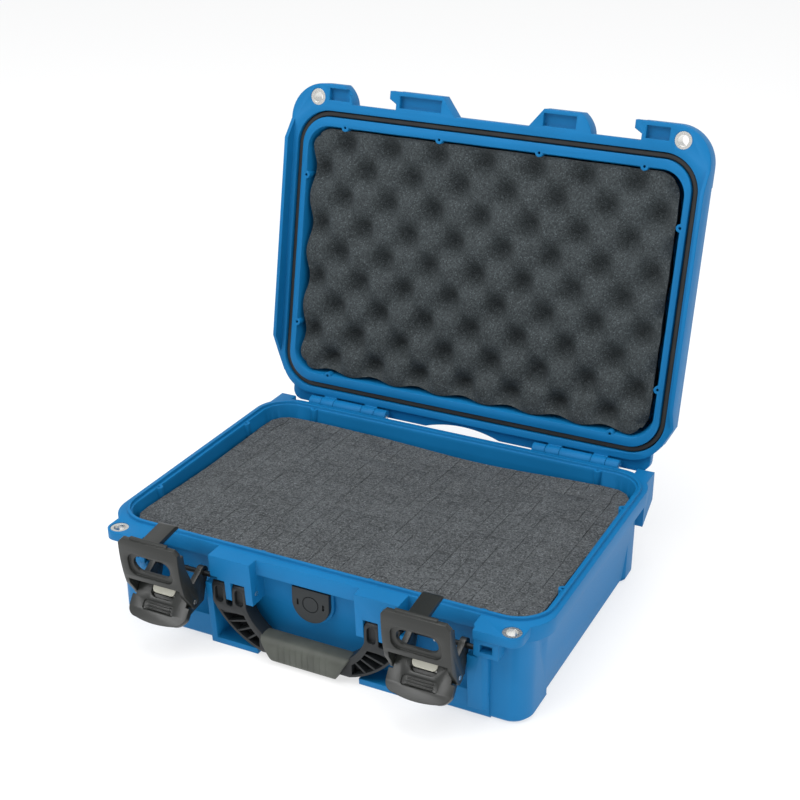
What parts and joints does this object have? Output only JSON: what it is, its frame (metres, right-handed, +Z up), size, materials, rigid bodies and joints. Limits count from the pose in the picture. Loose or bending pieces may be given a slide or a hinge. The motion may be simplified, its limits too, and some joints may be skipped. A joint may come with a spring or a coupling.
{
  "type": "hard case",
  "caption": "Blue moulded hard case with claw latches, folding handle, hinged lid, rubber seal and foam lining, for carrying delicate equipment.",
  "frame": {"origin": "under the middle of the base's floor, on the surface the case stands on", "axes": "+X to the right seen from the front, +Y towards the hinges, +Z up"},
  "size_m": [0.3624, 0.3861, 0.3435],
  "materials": {
    "shell": "satin",
    "latch": "satin",
    "lock": "satin",
    "handle": "satin",
    "grip": "matt",
    "seal": "matt",
    "base_foam": "matt",
    "lid_foam": "matt",
    "steel": "satin"
  },
  "bodies": {
    "base": {"base_shell": "shell", "base_foam": "base_foam", "base_pad": "base_foam", "valve_cap": "handle", "valve_membrane": "seal", "hinge_pin_left": "steel", "latch_axle_left": "steel", "latch_spring_left": "steel", "handle_pin_left": "steel", "base_eyelet_left": "steel", "hinge_pin_right": "steel", "latch_axle_right": "steel", "latch_spring_right": "steel", "handle_pin_right": "steel", "base_eyelet_right": "steel"},
    "lid": {"lid_shell": "shell", "lid_gasket": "seal", "lid_foam": "lid_foam", "lid_eyelet_left": "steel", "lid_eyelet_right": "steel"},
    "handle": {"handle_frame": "handle", "handle_grip": "grip"},
    "lever_left": {"latch_lever_left": "latch", "claw_pin_left": "steel"},
    "claw_left": {"latch_claw_left": "latch"},
    "lock_left": {"slide_lock_left": "lock"},
    "lever_right": {"latch_lever_right": "latch", "claw_pin_right": "steel"},
    "claw_right": {"latch_claw_right": "latch"},
    "lock_right": {"slide_lock_right": "lock"}
  },
  "joints": [
    {"name": "lid_hinge", "type": "hinge", "parent": "base", "child": "lid", "pos_m": [0, 0.1316, 0.0763], "axis": [1, 0, 0], "range_deg": [0, 100.9]},
    {"name": "handle_fold", "type": "hinge", "parent": "base", "child": "handle", "pos_m": [0, -0.1265, 0.051], "axis": [-1, 0, 0], "range_deg": [0, 95]},
    {"name": "lever_left", "type": "hinge", "parent": "base", "child": "lever_left", "pos_m": [-0.1046, -0.1315, 0.06], "axis": [1, 0, 0], "range_deg": [0, 37], "stiffness_Nm_per_rad": 0.03, "springref_deg": -28.65},
    {"name": "claw_left", "type": "hinge", "parent": "lever_left", "child": "claw_left", "pos_m": [-0.1046, -0.14954, 0.04606], "axis": [-1, 0, 0], "range_deg": [0, 45.01]},
    {"name": "slide_lock_left", "type": "slide", "parent": "lever_left", "child": "lock_left", "axis": [0, -0.6018, -0.7986], "range_m": [0, 0.003]},
    {"name": "lever_right", "type": "hinge", "parent": "base", "child": "lever_right", "pos_m": [0.1046, -0.1315, 0.06], "axis": [1, 0, 0], "range_deg": [0, 37], "stiffness_Nm_per_rad": 0.03, "springref_deg": -28.65},
    {"name": "claw_right", "type": "hinge", "parent": "lever_right", "child": "claw_right", "pos_m": [0.1046, -0.14954, 0.04606], "axis": [-1, 0, 0], "range_deg": [0, 45.01]},
    {"name": "slide_lock_right", "type": "slide", "parent": "lever_right", "child": "lock_right", "axis": [0, -0.6018, -0.7986], "range_m": [0, 0.003]}
  ],
  "couplings": [
    {"joint": "claw_left", "follows": "lever_left", "ratio": 1.2162},
    {"joint": "claw_right", "follows": "lever_right", "ratio": 1.2162}
  ]
}
